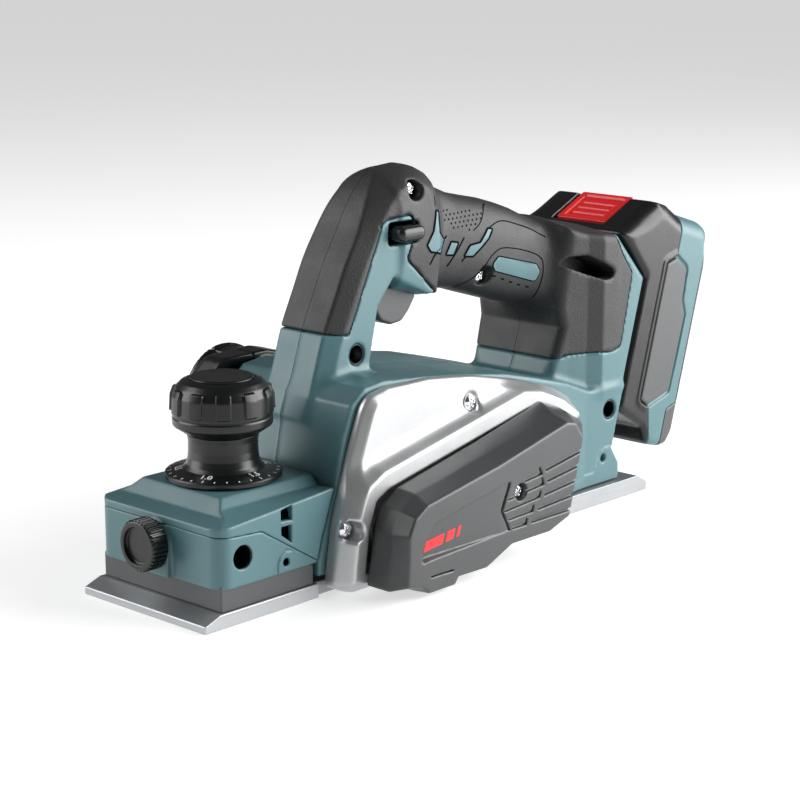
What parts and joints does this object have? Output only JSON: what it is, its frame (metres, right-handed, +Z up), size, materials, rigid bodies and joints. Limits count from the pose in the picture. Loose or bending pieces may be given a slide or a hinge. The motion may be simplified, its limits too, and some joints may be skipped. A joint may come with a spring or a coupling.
{
  "type": "cordless hand planer",
  "caption": "Cordless electric hand planer: steel-knife cutter drum driven by a belt from an inner motor, two soles, graduated depth knob, D-shaped grip and a slide-on battery.",
  "frame": {"origin": "middle of the rear sole, on the sole's lower face", "axes": "+X towards the heel and the battery, +Z up from the work, -Y the belt-cover side"},
  "size_m": [0.3799, 0.154, 0.1862],
  "materials": {
    "teal_plastic": "satin moulded nylon, blue-green",
    "black_plastic": "fine textured black",
    "grey_plastic": "satin dark grey",
    "grip_rubber": "soft textured overmould",
    "silver_paint": "bright silver lacquer on die-cast metal",
    "sole_aluminium": "machined",
    "cast_aluminium": "as cast",
    "steel": "turned",
    "blade_steel": "ground",
    "copper": "enamelled copper",
    "contact_brass": "plated",
    "belt_rubber": "matt",
    "red_plastic": "satin red",
    "panel_plastic": "satin mid grey",
    "board": "solder-masked circuit board",
    "cell_wrap": "shrink-wrapped cell"
  },
  "bodies": {
    "root": {"rear_shoe": "sole_aluminium", "belt_cover": "grey_plastic", "shoe_screws": "steel", "frame_screws": "steel", "cover_screw": "steel", "drum_bearings": "steel", "motor_bearings": "steel", "motor_stator": "steel", "trigger_pin": "steel", "trigger_spring": "steel", "lock_spring": "steel", "housing_screws": "steel", "pod_lower": "teal_plastic", "pod_upper": "teal_plastic", "housing_left": "teal_plastic", "housing_right": "teal_plastic", "chip_duct": "black_plastic", "chip_nozzle": "black_plastic", "switch_body": "black_plastic", "battery_rails": "black_plastic", "grip_rubber_left": "grip_rubber", "grip_rubber_right": "grip_rubber", "belt_frame": "silver_paint", "drum_side_plate": "cast_aluminium", "drum_hood": "cast_aluminium", "motor_bracket": "cast_aluminium", "drive_belt": "belt_rubber", "stator_windings": "copper", "tool_contacts": "contact_brass", "control_board": "board"},
    "front_shoe": {"front_shoe": "sole_aluminium", "front_skirt": "grey_plastic", "guide_posts": "steel"},
    "depth_knob": {"knob_dial": "black_plastic", "knob_cap": "black_plastic", "knob_disc": "black_plastic", "adjust_screw": "steel"},
    "thumb_screw": {"thumb_knob": "black_plastic", "clamp_screw": "steel"},
    "clamp_pad": {"clamp_pad": "steel"},
    "drum": {"cutter_drum": "cast_aluminium", "cutter_blades": "blade_steel", "blade_clamps": "cast_aluminium", "blade_screws": "steel", "drum_shaft": "steel", "drum_pulley": "steel"},
    "rotor": {"rotor_core": "steel", "motor_shaft": "steel", "motor_fan": "black_plastic", "motor_pulley": "steel"},
    "trigger": {"trigger": "grey_plastic"},
    "lock_button": {"lock_button": "black_plastic"},
    "battery": {"battery_case": "black_plastic", "battery_shell": "teal_plastic", "battery_cap": "grey_plastic", "battery_panels": "panel_plastic", "battery_cells": "cell_wrap"},
    "release_button": {"release_button": "red_plastic"}
  },
  "joints": [
    {"name": "depth_knob_turn", "type": "hinge", "parent": "root", "child": "depth_knob", "pos_m": [-0.1675, 0, 0.06], "axis": [0, 0, -1], "range_deg": [0, 257]},
    {"name": "front_shoe_slide", "type": "slide", "parent": "root", "child": "front_shoe", "axis": [0, 0, 1], "range_m": [0, 0.002]},
    {"name": "drum_spin", "type": "hinge", "parent": "root", "child": "drum", "pos_m": [-0.105, 0, 0.024], "axis": [0, 1, 0], "continuous": true},
    {"name": "rotor_spin", "type": "hinge", "parent": "root", "child": "rotor", "pos_m": [-0.029, 0, 0.044], "axis": [0, 1, 0], "continuous": true},
    {"name": "thumb_screw_turn", "type": "hinge", "parent": "root", "child": "thumb_screw", "pos_m": [-0.215, 0, 0.032], "axis": [1, 0, 0], "range_deg": [0, 540]},
    {"name": "clamp_pad_slide", "type": "slide", "parent": "root", "child": "clamp_pad", "axis": [1, 0, 0], "range_m": [0, 0.00187]},
    {"name": "trigger_pull", "type": "hinge", "parent": "root", "child": "trigger", "pos_m": [-0.073, 0, 0.136], "axis": [0, -1, 0], "range_deg": [0, 7], "stiffness_Nm_per_rad": 0.3, "springref_deg": -14.32, "deforming": ["trigger_spring"]},
    {"name": "lock_button_push", "type": "slide", "parent": "root", "child": "lock_button", "axis": [0, 1, 0], "range_m": [0, 0.004], "stiffness_N_per_m": 250, "springref_m": -0.003},
    {"name": "battery_slide", "type": "slide", "parent": "root", "child": "battery", "axis": [0.284, 0, 0.9588], "range_m": [0, 0.11]},
    {"name": "release_button_press", "type": "slide", "parent": "battery", "child": "release_button", "axis": [0.4138, 0, -0.9104], "range_m": [0, 0.002], "stiffness_N_per_m": 400, "springref_m": -0.002}
  ],
  "couplings": [
    {"joint": "depth_knob_turn", "follows": "front_shoe_slide", "rad_per_m": 2242.7},
    {"joint": "rotor_spin", "follows": "drum_spin", "ratio": 1.3},
    {"joint": "thumb_screw_turn", "follows": "clamp_pad_slide", "rad_per_m": 5026.6}
  ]
}
